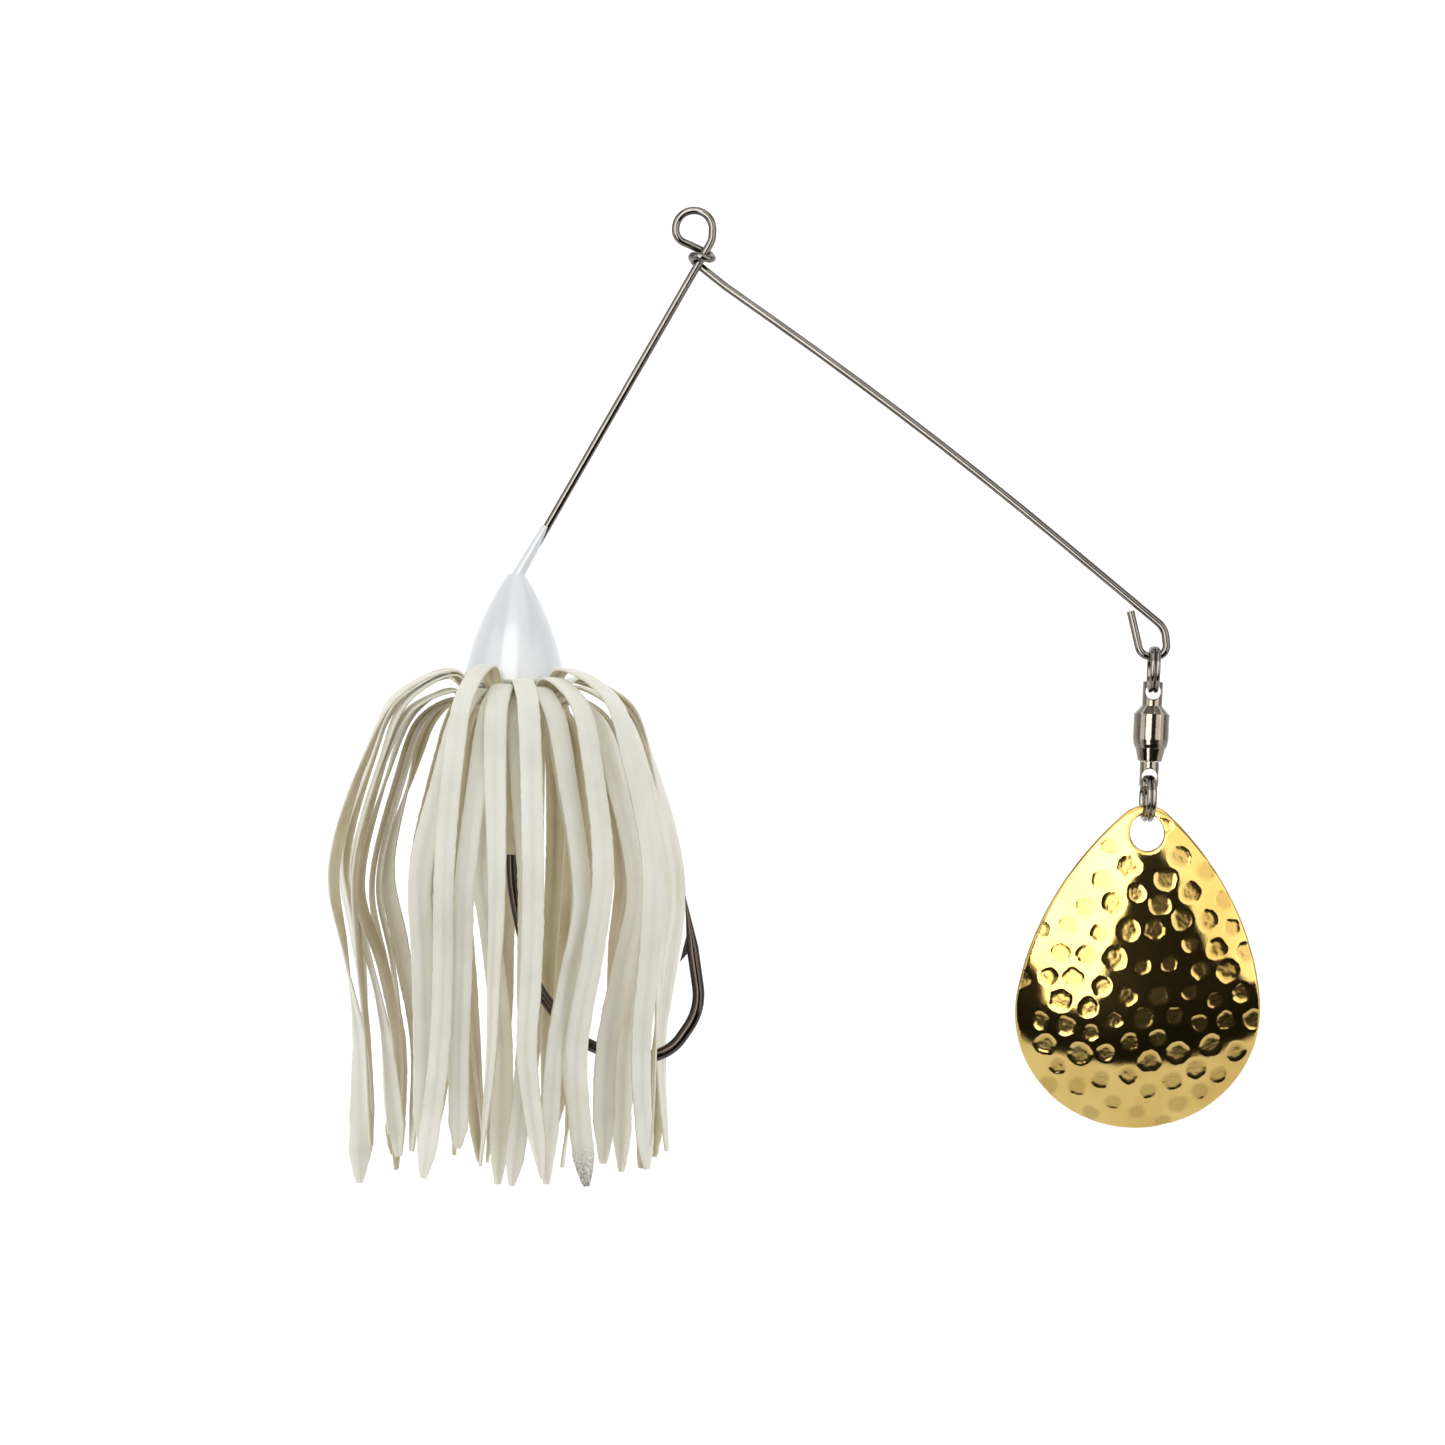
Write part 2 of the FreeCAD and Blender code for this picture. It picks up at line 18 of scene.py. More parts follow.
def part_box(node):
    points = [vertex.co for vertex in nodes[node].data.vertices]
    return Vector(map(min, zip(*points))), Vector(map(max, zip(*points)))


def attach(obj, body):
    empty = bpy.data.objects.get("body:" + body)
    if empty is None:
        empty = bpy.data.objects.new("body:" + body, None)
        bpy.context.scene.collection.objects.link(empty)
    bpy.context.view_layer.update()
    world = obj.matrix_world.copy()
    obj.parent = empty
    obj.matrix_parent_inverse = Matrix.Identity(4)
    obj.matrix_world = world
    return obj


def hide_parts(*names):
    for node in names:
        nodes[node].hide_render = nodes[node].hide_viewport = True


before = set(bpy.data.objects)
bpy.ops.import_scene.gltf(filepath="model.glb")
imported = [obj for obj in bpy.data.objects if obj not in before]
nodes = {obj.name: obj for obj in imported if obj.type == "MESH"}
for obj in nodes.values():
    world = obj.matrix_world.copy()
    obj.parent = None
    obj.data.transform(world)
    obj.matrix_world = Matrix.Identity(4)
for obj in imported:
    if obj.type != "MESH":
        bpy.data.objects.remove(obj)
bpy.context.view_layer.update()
MM = 0.001
for name in sorted(nodes):
    low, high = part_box(name)
    print(name, "size in mm:", [round((b - a) / MM, 1) for a, b in zip(low, high)])

# %% [markdown]
# ## Tools used all through
# Colours are written as the sRGB hex codes a paint chart would give, and one function turns them to
# the linear values that Blender mixes. One more function adds a node, sets it up and links it, so a
# material or a geometry tree reads as a list of steps. The short names stand for the kinds of node
# that come up again and again.

# %% Colour, node and object helpers
MATH, VECTOR, RANGE = "ShaderNodeMath", "ShaderNodeVectorMath", "ShaderNodeMapRange"
NOISE, BUMP, MIX = "ShaderNodeTexNoise", "ShaderNodeBump", "ShaderNodeMix"
# A Mix node has one set of sockets for each kind of data. These are its colours in and out.
MIX_A, MIX_B, MIXED = 6, 7, 2


def hexed(code):
    """Linear colour from an sRGB hex code."""
    channels = [int(code[i : i + 2], 16) / 255 for i in (1, 3, 5)]
    linear = [c / 12.92 if c <= 0.04045 else ((c + 0.055) / 1.055) ** 2.4 for c in channels]
    return (*linear, 1.0)


def add(tree, kind, inputs=None, stops=None, **settings):
    """Add a node with its settings, its colour stops if it is a ramp, and its inputs.

    An input, by name or number, is given a value, a socket to link, or a node whose first output
    is linked.
    """
    node = tree.nodes.new(kind)
    for key, value in settings.items():
        setattr(node, key, value)
    if stops:
        elements = node.color_ramp.elements
        while len(elements) > 1:
            elements.remove(elements[-1])
        elements[0].position, elements[0].color = stops[0][0], hexed(stops[0][1])
        for position, code in stops[1:]:
            elements.new(position).color = hexed(code)
    for key, value in (inputs or {}).items():
        if isinstance(value, bpy.types.Node):
            value = value.outputs[0]
        if isinstance(value, bpy.types.NodeSocket):
            tree.links.new(value, node.inputs[key])
        else:
            node.inputs[key].default_value = value
    return node


def new_material(name):
    """Material with an empty tree: returns it, its tree and its Principled shader."""
    material = bpy.data.materials.new(name)
    material.use_nodes = True
    tree = material.node_tree
    tree.nodes.clear()
    shader = add(tree, "ShaderNodeBsdfPrincipled")
    add(tree, "ShaderNodeOutputMaterial", {"Surface": shader})
    return material, tree, shader


def object_from(name, data):
    """New object of a mesh, a light or a camera, linked to the scene."""
    thing = bpy.data.objects.new(name, data)
    bpy.context.scene.collection.objects.link(thing)
    return thing


# %% [markdown]
# ## Camera
# A product picture of a lure is taken from straight ahead with a long lens, so that nothing looks
# bigger for being nearer. The lens is 120 mm at three quarters of a metre. The camera is turned a
# touch about its own line of sight, because the blade hangs plumb but the frame does not.

# %% Camera
ROLL = math.radians(2.5)
VIEW_CENTRE = Vector((7.79, 0.0, -76.6)) * MM
CAMERA_DISTANCE = 0.75
camera = bpy.data.cameras.new("camera")
camera.lens = 120
camera.sensor_width = 36
camera.clip_start = 0.02
camera.clip_end = 20
eye = object_from("camera", camera)
right = Vector((math.cos(ROLL), 0, math.sin(ROLL)))
upward = Vector((-math.sin(ROLL), 0, math.cos(ROLL)))
stand = Matrix((right, upward, right.cross(upward))).transposed().to_4x4()
stand.translation = VIEW_CENTRE + Vector((0, -CAMERA_DISTANCE, 0))
eye.matrix_world = stand
bpy.context.scene.camera = eye
print("camera at", [round(v, 3) for v in stand.translation])

# %% [markdown]
# ## Studio
# Polished metal has hardly any colour of its own: it shows the room. The room here is a pale sweep
# of paper under and behind the lure, soft boxes left, right and above, two tall silk screens behind
# the camera and a dark panel before them. The screens are what the bright metal mirrors, and the
# panel draws the dark heart of the blade and the dark stripe down every wire. The sweep ends a
# little before the lure, which sets how far down the blade the dark heart reaches.

# %% Sweep, soft boxes and dark panel
FLOOR_Z, FLOOR_FRONT, BEND_Y, BEND_R = -0.30, -0.145, 0.6, 0.5
WALL_TOP, SWEEP_HALF = 2.6, 4.0
PANEL_Y, CARD_Y = -1.3, -1.5
# Corners as (x, z) in metres. The panel's outline gives the blade's dark heart its shape.
PANEL_CORNERS = (
    (0.17, 0.62), (0.29, 0.62), (0.80, -0.28), (1.45, -0.66), (3.0, -0.8), (3.0, -1.9),
    (-3.0, -1.9), (-3.0, -0.1), (-1.25, -0.1), (-0.72, -0.62), (-0.70, -0.9), (-0.32, -0.9),
    (-0.19, -0.74),
)
LEFT_CORNERS = ((-1.1, -1.2), (0.22, -1.2), (0.22, 1.5), (-1.1, 1.5))
RIGHT_CORNERS = ((0.22, -1.0), (2.4, -1.0), (2.4, 1.2), (0.22, 1.5))
# Name, place, width and height, watts, and where it points if not at the lure.
SOFT_BOXES = (
    ("left_box", (-0.75, -0.45, 0.05), (0.5, 0.9), 2.1, VIEW_CENTRE),
    ("right_box", (0.85, -0.35, 0.05), (0.45, 0.9), 1.5, VIEW_CENTRE),
    ("top_box", (0.05, -0.35, 0.75), (1.0, 0.6), 2.7, VIEW_CENTRE),
    ("back_light", (0.0, 0.35, 0.75), (1.6, 0.5), 4, (0.0, 1.1, 0.1)),
)


def flat_panel(name, y, corners):
    """Upright flat sheet at depth y, hidden from the camera and casting no shade."""
    mesh = bpy.data.meshes.new(name)
    mesh.from_pydata([Vector((x, y, z)) for x, z in corners], [], [list(range(len(corners)))])
    sheet = object_from(name, mesh)
    sheet.visible_camera = sheet.visible_shadow = sheet.visible_diffuse = False
    return sheet


profile = [(FLOOR_FRONT, FLOOR_Z), (BEND_Y, FLOOR_Z)]
profile += [
    (BEND_Y + BEND_R * math.sin(a), FLOOR_Z + BEND_R * (1 - math.cos(a)))
    for a in [math.radians(7.5 * k) for k in range(1, 13)]
]
profile.append((BEND_Y + BEND_R, WALL_TOP))
rows = [[(x, y, z) for y, z in profile] for x in (-SWEEP_HALF, SWEEP_HALF)]
sweep_mesh = bpy.data.meshes.new("paper_sweep")
count = len(profile)
sweep_mesh.from_pydata(
    rows[0] + rows[1], [], [(k, k + 1, count + k + 1, count + k) for k in range(count - 1)]
)
sweep_mesh.polygons.foreach_set("use_smooth", [True] * (count - 1))
sweep = object_from("paper_sweep", sweep_mesh)
panel = flat_panel("dark_panel", PANEL_Y, PANEL_CORNERS)
left_card = flat_panel("left_card", CARD_Y, LEFT_CORNERS)
right_card = flat_panel("right_card", CARD_Y, RIGHT_CORNERS)

for name, place, size, watts, aim in SOFT_BOXES:
    light = bpy.data.lights.new(name, "AREA")
    light.shape = "RECTANGLE"
    light.size, light.size_y = size
    light.energy = watts
    lamp = object_from(name, light)
    lamp.location = place
    lamp.rotation_euler = (Vector(aim) - Vector(place)).to_track_quat("-Z", "Y").to_euler()

world = bpy.data.worlds.new("pale_room")
bpy.context.scene.world = world
world.use_nodes = True
world.node_tree.nodes["Background"].inputs["Color"].default_value = hexed("#F4F6F8")
world.node_tree.nodes["Background"].inputs["Strength"].default_value = 0.5
bpy.context.scene.view_settings.view_transform = "Standard"

paper, tree, shader = new_material("matt_white_paper")
shader.inputs["Base Color"].default_value = hexed("#F7F7F7")
shader.inputs["Roughness"].default_value = 0.9
shader.inputs["Emission Color"].default_value = hexed("#FFFFFF")
shader.inputs["Emission Strength"].default_value = 0.25
sweep.data.materials.append(paper)
black_cloth, tree, shader = new_material("black_velvet")
shader.inputs["Base Color"].default_value = hexed("#0E0D0B")
shader.inputs["Roughness"].default_value = 1.0
panel.data.materials.append(black_cloth)
for card, glow, tint in ((left_card, 5.2, "#FFFDF8"), (right_card, 2.2, "#FFFCF2")):
    silk, tree, shader = new_material(card.name + "_silk")
    shader.inputs["Base Color"].default_value = hexed("#202020")
    shader.inputs["Emission Color"].default_value = hexed(tint)
    shader.inputs["Emission Strength"].default_value = glow
    card.data.materials.append(silk)

# %% [markdown]
# ## Metals
# The frame is stainless spring wire, drawn through a die, so its scratches run along it and it
# stays bright. The hook is forged carbon steel under black nickel. Rings and swivel are tumbled and
# nickel plated: bright, a little warm, with a fine waviness. Each metal is the metallic shader with
# its own colour and roughness, and noise in millimetres for handling marks.

# %% Metal finishes
CLOUD_MM, PIT_MM = 6, 1.1


def metal(name, pale, dark, roughness, grain_mm, stretch=(1, 1, 1), bump=0.02, spots=None):
    """Plated or drawn metal with cloudy colour, uneven shine and a fine bump of real size."""
    material, tree, shader = new_material(name)
    where = add(tree, "ShaderNodeTexCoord").outputs["Object"]
    cloud = add(tree, NOISE, {"Vector": where, "Scale": 1 / (CLOUD_MM * MM), "Detail": 4})
    colour = add(
        tree, MIX, {"Factor": cloud, MIX_A: hexed(dark), MIX_B: hexed(pale)}, data_type="RGBA"
    ).outputs[MIXED]
    drawn = add(tree, "ShaderNodeMapping", {"Vector": where, "Scale": stretch})
    fine = add(tree, NOISE, {"Vector": drawn, "Scale": 1 / (grain_mm * MM), "Detail": 6})
    if spots:
        speck_inputs = {"Vector": where, "Scale": 1 / (PIT_MM * MM), "Detail": 8, "Roughness": 0.75}
        speck = add(tree, NOISE, speck_inputs)
        mask = add(tree, RANGE, {"Value": speck, "From Min": 0.62, "From Max": 0.7})
        colour = add(
            tree, MIX, {"Factor": mask, MIX_A: colour, MIX_B: hexed(spots)}, data_type="RGBA"
        ).outputs[MIXED]
    shine = add(
        tree, RANGE, {"Value": fine, "To Min": roughness * 0.6, "To Max": roughness * 1.5}
    )
    relief = add(tree, BUMP, {"Height": fine, "Strength": 0.35, "Distance": bump * MM})
    tree.links.new(colour, shader.inputs["Base Color"])
    tree.links.new(shine.outputs["Result"], shader.inputs["Roughness"])
    tree.links.new(relief.outputs["Normal"], shader.inputs["Normal"])
    shader.inputs["Metallic"].default_value = 1.0
    return material


# Drawn stainless wire: cool grey and bright, with its grain drawn out in height.
spring_wire = metal("drawn_stainless_wire", "#84807C", "#56524E", 0.05, 0.35, (1, 1, 0.4))
# Black nickel over forged steel: dark, brown at the edges of a reflection, faintly pitted.
black_nickel = metal("black_nickel_forging", "#564D47", "#342E2A", 0.1, 0.5, spots="#2A2521")
# Split rings are hard-drawn and tumbled bright.
ring_steel = metal("tumbled_ring_steel", "#958F88", "#605A55", 0.07, 0.4)
# The swivel is turned brass under bright nickel, warmer than steel.
swivel_nickel = metal("bright_nickel_on_brass", "#A1978A", "#70675C", 0.1, 0.45, bump=0.03)

finish = {
    "wire_frame": spring_wire,
    "hook": black_nickel,
    "upper_split_ring": ring_steel,
    "lower_split_ring": ring_steel,
    "swivel_barrel": swivel_nickel,
    "swivel_end_cap": swivel_nickel,
    "spindle_collar": swivel_nickel,
    "swivel_spindle": swivel_nickel,
    "swivel_balls": ring_steel,
}

# %% [markdown]
# ## Painted head
# The head is lead cast round the hook's shank and the wire, dipped or powder coated in white and
# baked. Paint flows before it sets, so the surface is very smooth with a broad, faint waviness, and
# it creeps up the wire as a thin neck. The finish is a glossy white with a clear coat on top.

# %% Paint
FLOW_MM, PEEL_MM = 5, 0.6
white_paint, tree, shader = new_material("baked_white_powder_paint")
where = add(tree, "ShaderNodeTexCoord").outputs["Object"]
flow = add(tree, NOISE, {"Vector": where, "Scale": 1 / (FLOW_MM * MM), "Detail": 2})
skin = add(tree, NOISE, {"Vector": where, "Scale": 1 / (PEEL_MM * MM), "Detail": 3})
tint = add(
    tree, MIX, {"Factor": flow, MIX_A: hexed("#E3E7EA"), MIX_B: hexed("#ECEEEF")}, data_type="RGBA"
)
waves = add(tree, BUMP, {"Height": flow, "Strength": 0.5, "Distance": 0.12 * MM})
peel = add(tree, BUMP, {"Height": skin, "Strength": 0.3, "Distance": 0.02 * MM, "Normal": waves})
tree.links.new(tint.outputs[MIXED], shader.inputs["Base Color"])
tree.links.new(peel.outputs["Normal"], shader.inputs["Normal"])
shader.inputs["Roughness"].default_value = 0.28
shader.inputs["Coat Weight"].default_value = 0.6
shader.inputs["Coat Roughness"].default_value = 0.08
finish["head_casting"] = white_paint

for name, material in finish.items():
    for slot in nodes[name].material_slots:
        slot.material = material
    print(name, "->", material.name)

# %% [markdown]
# ## Geometry trees
# What repeats or follows a path is made by geometry nodes: the ribbons of the skirt and the hammer
# marks of the blade. Each tree has named inputs. A modifier is filled in by each socket's
# identifier before it first runs, and its result is then kept as a plain mesh.

# %% Making and applying a tree
DIRECTIONS = ("spine", "across", "facing", "middle", "outward")


def new_tree(name, sizes):
    """Geometry tree with a mesh in, a mesh out and named number inputs."""
    tree = bpy.data.node_groups.new(name, "GeometryNodeTree")
    face = tree.interface
    face.new_socket("Geometry", in_out="INPUT", socket_type="NodeSocketGeometry")
    for label, value in sizes.items():
        kind = "NodeSocketInt" if isinstance(value, int) else "NodeSocketFloat"
        face.new_socket(label, in_out="INPUT", socket_type=kind).default_value = value
    face.new_socket("Geometry", in_out="OUTPUT", socket_type="NodeSocketGeometry")
    return tree, add(tree, "NodeGroupInput").outputs


def end_tree(tree, geometry, material):
    """Every tree ends alike: faces smooth, instances made real, material set."""
    smooth = add(tree, "GeometryNodeSetShadeSmooth", {"Geometry": geometry})
    real = add(tree, "GeometryNodeRealizeInstances", {"Geometry": smooth})
    dressed = add(tree, "GeometryNodeSetMaterial", {"Geometry": real, "Material": material})
    add(tree, "NodeGroupOutput", {"Geometry": dressed})


def stored(tree, labels):
    """What earlier steps stored on the points, by label: directions or single numbers."""
    found = {}
    for label in labels:
        kind = "FLOAT_VECTOR" if label in DIRECTIONS else "FLOAT"
        name = {"Name": label}
        found[label] = add(tree, "GeometryNodeInputNamedAttribute", name, data_type=kind)
    return found


def grow(name, seed_mesh, tree, material, sizes):
    """Run a tree on a mesh and keep the result as a plain mesh object."""
    source = object_from(name + "_source", seed_mesh)
    source.data.materials.append(material)
    modifier = source.modifiers.new("tree", "NODES")
    modifier.node_group = tree
    by_label = {i.name: i.identifier for i in tree.interface.items_tree if i.in_out == "INPUT"}
    for label, value in sizes.items():
        modifier[by_label[label]] = value
    ready = source.evaluated_get(bpy.context.evaluated_depsgraph_get())
    mesh = bpy.data.meshes.new_from_object(ready)
    mesh.name = name
    bpy.data.objects.remove(source)
    piece = object_from(name, mesh)
    print(name, len(mesh.vertices), "points", len(mesh.polygons), "faces")
    return piece


# %% [markdown]
# ## Skirt rubber
# The skirt is ivory latex sheet. Its other side is painted tan as painted shade, the shade that
# falls on the inner faces, so a twisted ribbon changes colour. The sheet is matt with a soft sheen,
# is faintly mottled, and lets a little light through. The tree below marks which side is which.

# %% Rubber
MOTTLE_MM, GRIT_MM = 9, 0.35
latex, tree, shader = new_material("ivory_latex_sheet")
where = add(tree, "ShaderNodeTexCoord").outputs["Object"]
side = add(tree, "ShaderNodeAttribute", attribute_name="show_side").outputs["Fac"]
stain = add(tree, "ShaderNodeAttribute", attribute_name="stain").outputs["Fac"]
mottle = add(tree, NOISE, {"Vector": where, "Scale": 1 / (MOTTLE_MM * MM), "Detail": 3})
grit_inputs = {"Vector": where, "Scale": 1 / (GRIT_MM * MM), "Detail": 5, "Roughness": 0.7}
grit = add(tree, NOISE, grit_inputs)
SHOW_SHADES = [(0.3, "#E6E1D1"), (0.5, "#EEEADC"), (0.7, "#F2EFE4")]
# The other side's tan colours are painted shade, standing in for the shadow on the inner faces.
BACK_PAINTED_SHADE_STOPS = [(0.3, "#CABD99"), (0.5, "#D6CBAD"), (0.7, "#DDD4BA")]
show = add(tree, "ShaderNodeValToRGB", {"Fac": mottle}, SHOW_SHADES)
back = add(tree, "ShaderNodeValToRGB", {"Fac": mottle}, BACK_PAINTED_SHADE_STOPS)
# Mixes the ivory show side with the tan painted shade of the other side.
show_or_painted_shade = add(tree, RANGE, {"Value": side, "From Min": -0.6, "From Max": 0.5})
both = add(tree, MIX, {"Factor": show_or_painted_shade, MIX_A: back, MIX_B: show}, data_type="RGBA")
grains = add(tree, RANGE, {"Value": grit, "From Min": 0.35, "From Max": 0.6})
blotch = add(tree, MATH, {0: stain, 1: grains}, operation="MULTIPLY")
stained_colour = {"Factor": blotch, MIX_A: both.outputs[MIXED], MIX_B: hexed("#4A443A")}
marked = add(tree, MIX, stained_colour, data_type="RGBA")
relief = add(tree, BUMP, {"Height": grit, "Strength": 0.4, "Distance": 0.05 * MM})
tree.links.new(marked.outputs[MIXED], shader.inputs["Base Color"])
tree.links.new(relief.outputs["Normal"], shader.inputs["Normal"])
shader.inputs["Roughness"].default_value = 0.62
shader.inputs["Subsurface Weight"].default_value = 0.12
shader.inputs["Subsurface Radius"].default_value = (1.0, 0.8, 0.5)
shader.inputs["Subsurface Scale"].default_value = 0.6 * MM
shader.inputs["Sheen Weight"].default_value = 0.08

# %% [markdown]
# ## Ribbon tree
# A ribbon is a flat bar swept along a path. The path's points say where the ribbon goes, which way
# it spreads and which way its show side looks. The tree sweeps a small rounded oblong along each
# path, puts every point where those directions say, and nibbles the cut edges with noise, as the
# slitting knife does. The oblong is two units wide and high, so each of its points carries two
# numbers from -1 to 1: how far across the ribbon it is, and how near the show side.

# %% Ribbon tree
RIBBON_SIZES = {
    "Edge wear": 0.1 * MM,
    "Wear spacing": 0.8 * MM,
    "Cupping": 0.16 * MM,
    "Corner": 0.3,
}
ribbons, given = new_tree("ribbons_along_paths", RIBBON_SIZES)
paths = add(ribbons, "GeometryNodeMeshToCurve", {"Mesh": given["Geometry"]})
oblong = add(ribbons, "GeometryNodeCurvePrimitiveQuadrilateral", {"Width": 2.0, "Height": 2.0})
halved = add(ribbons, "GeometryNodeSubdivideCurve", {"Curve": oblong, "Cuts": 1})
corners = {"Curve": halved, "Radius": given["Corner"], "Count": 2}
section = add(ribbons, "GeometryNodeFilletCurve", corners, mode="POLY")
place = add(ribbons, "ShaderNodeSeparateXYZ", {0: add(ribbons, "GeometryNodeInputPosition")})
for label, axis in (("spread", "X"), ("show_side", "Y")):
    section = add(
        ribbons,
        "GeometryNodeStoreNamedAttribute",
        {"Geometry": section, "Name": label, "Value": place.outputs[axis]},
        data_type="FLOAT",
        domain="POINT",
    )
sweeping = {"Curve": paths, "Profile Curve": section, "Fill Caps": True}
swept = add(ribbons, "GeometryNodeCurveToMesh", sweeping)

labels = ("spine", "across", "facing", "spread", "show_side", "wide", "thick", "cup")
has = stored(ribbons, labels)
# The noise is read well to either side of the path, so the two edges wear differently.
WEAR_ASIDE = 20 * MM
aside = add(ribbons, MATH, {0: has["spread"], 1: WEAR_ASIDE}, operation="MULTIPLY")
aside = add(ribbons, VECTOR, {0: has["across"], "Scale": aside}, operation="SCALE")
aside = add(ribbons, VECTOR, {0: has["spine"], 1: aside}, operation="ADD")
fineness = add(ribbons, MATH, {0: 1.0, 1: given["Wear spacing"]}, operation="DIVIDE")
wear = add(ribbons, NOISE, {"Vector": aside, "Scale": fineness, "Detail": 2.0})
wear = add(ribbons, MATH, {0: wear, 1: 0.5}, operation="SUBTRACT")
deepest = add(ribbons, MATH, {0: given["Edge wear"], 1: 4.0}, operation="MULTIPLY")
bite = add(ribbons, MATH, {0: wear, 1: deepest}, operation="MULTIPLY")
half_width = add(ribbons, MATH, {0: has["wide"], 1: 0.5}, operation="MULTIPLY")
half_width = add(ribbons, MATH, {0: half_width, 1: bite}, operation="ADD")
half_thick = add(ribbons, MATH, {0: has["thick"], 1: 0.5}, operation="MULTIPLY")
square = add(ribbons, MATH, {0: has["spread"], 1: has["spread"]}, operation="MULTIPLY")
bow = add(ribbons, MATH, {0: square, 1: given["Cupping"]}, operation="MULTIPLY")
bow = add(ribbons, MATH, {0: bow, 1: has["cup"]}, operation="MULTIPLY")
lift = add(ribbons, MATH, {0: has["show_side"], 1: half_thick}, operation="MULTIPLY")
lift = add(ribbons, MATH, {0: lift, 1: bow}, operation="SUBTRACT")
out_by = add(ribbons, MATH, {0: has["spread"], 1: half_width}, operation="MULTIPLY")
sideways = add(ribbons, VECTOR, {0: has["across"], "Scale": out_by}, operation="SCALE")
outwards = add(ribbons, VECTOR, {0: has["facing"], "Scale": lift}, operation="SCALE")
where_to = add(ribbons, VECTOR, {0: has["spine"], 1: sideways}, operation="ADD")
where_to = add(ribbons, VECTOR, {0: where_to, 1: outwards}, operation="ADD")
laid = add(ribbons, "GeometryNodeSetPosition", {"Geometry": swept, "Position": where_to})
end_tree(ribbons, laid, latex)

# %% [markdown]
# ## Skirt strands
# The sheet is rolled into a sleeve of five wraps on the head's keeper and slit above it. Slit
# ribbons spring up under the head, arch over and hang. The inner wrap's arch is the highest, so its
# ribbons hang outermost. Each ribbon gets its own reach, sway, twist and length from one fixed
# seed, inside limits for its wrap. Neighbours may still touch or cross.

# %% Strand paths
HEAD_TIP = Vector((-25.3, 0, -54.6))
HEAD_LEAN = math.radians(1.6)
BASE = -17.4  # the head's base, below its tip along its axis
AXIS = Vector((-math.sin(HEAD_LEAN), 0, math.cos(HEAD_LEAN)))
SHEET = 0.45
PLY = SHEET + 0.03  # one wrap to the next
STRAND = 3.35
WRAP_COUNTS = (8, 7, 8, 8, 9)
WRAP_PHASE = (0.5, 0.15, 0.75, 0.35, 0.9)
WRAP_REACH = (27.4, 26.0, 24.3, 22.2, 19.6)
PATH_POINTS, CURVE_STEPS = 120, 24
dice = random.Random(41)


def from_head(turn, r, h, slide=0.0):
    """A point at radius r and height h from the head's base, turned about its axis and slid along.

    The direction of sliding comes back too.
    """
    flat_out = math.cos(turn)
    out = Vector(
        (flat_out * math.cos(HEAD_LEAN), math.sin(turn), flat_out * math.sin(HEAD_LEAN))
    )
    along = AXIS.cross(out)
    return HEAD_TIP + AXIS * (BASE + h) + out * r + along * slide, along


def smooth_path(points, samples):
    """Even samples of a smooth curve through the points (Catmull-Rom, centripetal)."""
    ends = [points[0] * 2 - points[1]] + points + [points[-1] * 2 - points[-2]]
    dense = []
    for a, b, c, d in zip(ends, ends[1:], ends[2:], ends[3:]):
        t = [0.0]
        for p, q in ((a, b), (b, c), (c, d)):
            t.append(t[-1] + max((q - p).length, 1e-6) ** 0.5)
        for k in range(CURVE_STEPS):
            u = t[1] + (t[2] - t[1]) * k / CURVE_STEPS
            ab = a.lerp(b, (u - t[0]) / (t[1] - t[0]))
            bc = b.lerp(c, (u - t[1]) / (t[2] - t[1]))
            cd = c.lerp(d, (u - t[2]) / (t[3] - t[2]))
            abc = ab.lerp(bc, (u - t[0]) / (t[2] - t[0]))
            bcd = bc.lerp(cd, (u - t[1]) / (t[3] - t[1]))
            dense.append(abc.lerp(bcd, (u - t[1]) / (t[2] - t[1])))
    dense.append(points[-1].copy())
    reach = [0.0]
    for p, q in zip(dense, dense[1:]):
        reach.append(reach[-1] + (q - p).length)
    path, k = [], 0
    for n in range(samples):
        want = reach[-1] * n / (samples - 1)
        while k < len(reach) - 2 and reach[k + 1] < want:
            k += 1
        share = (want - reach[k]) / max(reach[k + 1] - reach[k], 1e-9)
        path.append(dense[k].lerp(dense[k + 1], min(max(share, 0), 1)))
    return path, reach[-1]


class Strands:
    """Collects the ribbons of one wrap: points, edges and what the ribbon tree reads."""

    def __init__(self):
        self.spine, self.edges = [], []
        self.across, self.facing, self.wide, self.stain, self.cup = [], [], [], [], []

    def ribbon(self, path, length, turn_of, width_of, stain_length, sideways):
        first = len(self.spine)
        for k, point in enumerate(path):
            share = k / (len(path) - 1)
            ahead = (path[min(k + 1, len(path) - 1)] - path[max(k - 1, 0)]).normalized()
            level = (sideways - ahead * sideways.dot(ahead)).normalized()
            out = ahead.cross(level)
            spin = turn_of(share)
            left = length - share * length
            self.spine.append(point * MM)
            self.across.append(level * math.cos(spin) + out * math.sin(spin))
            self.facing.append(out * math.cos(spin) - level * math.sin(spin))
            self.wide.append(width_of(share * length, length) * MM)
            self.stain.append(max(0.0, 1 - left / stain_length) if stain_length else 0.0)
            self.cup.append(min(1.0, share * 6))
            if k:
                self.edges.append((first + k - 1, first + k))

    def mesh(self, name):
        mesh = bpy.data.meshes.new(name)
        mesh.from_pydata(self.spine, self.edges, [])
        directions = (("spine", self.spine), ("across", self.across), ("facing", self.facing))
        for label, values in directions:
            store = mesh.attributes.new(label, "FLOAT_VECTOR", "POINT").data
            store.foreach_set("vector", [c for v in values for c in v])
        thick = [SHEET * MM] * len(self.spine)
        numbers = (("wide", self.wide), ("thick", thick), ("stain", self.stain), ("cup", self.cup))
        for label, values in numbers:
            mesh.attributes.new(label, "FLOAT", "POINT").data.foreach_set("value", values)
        return mesh


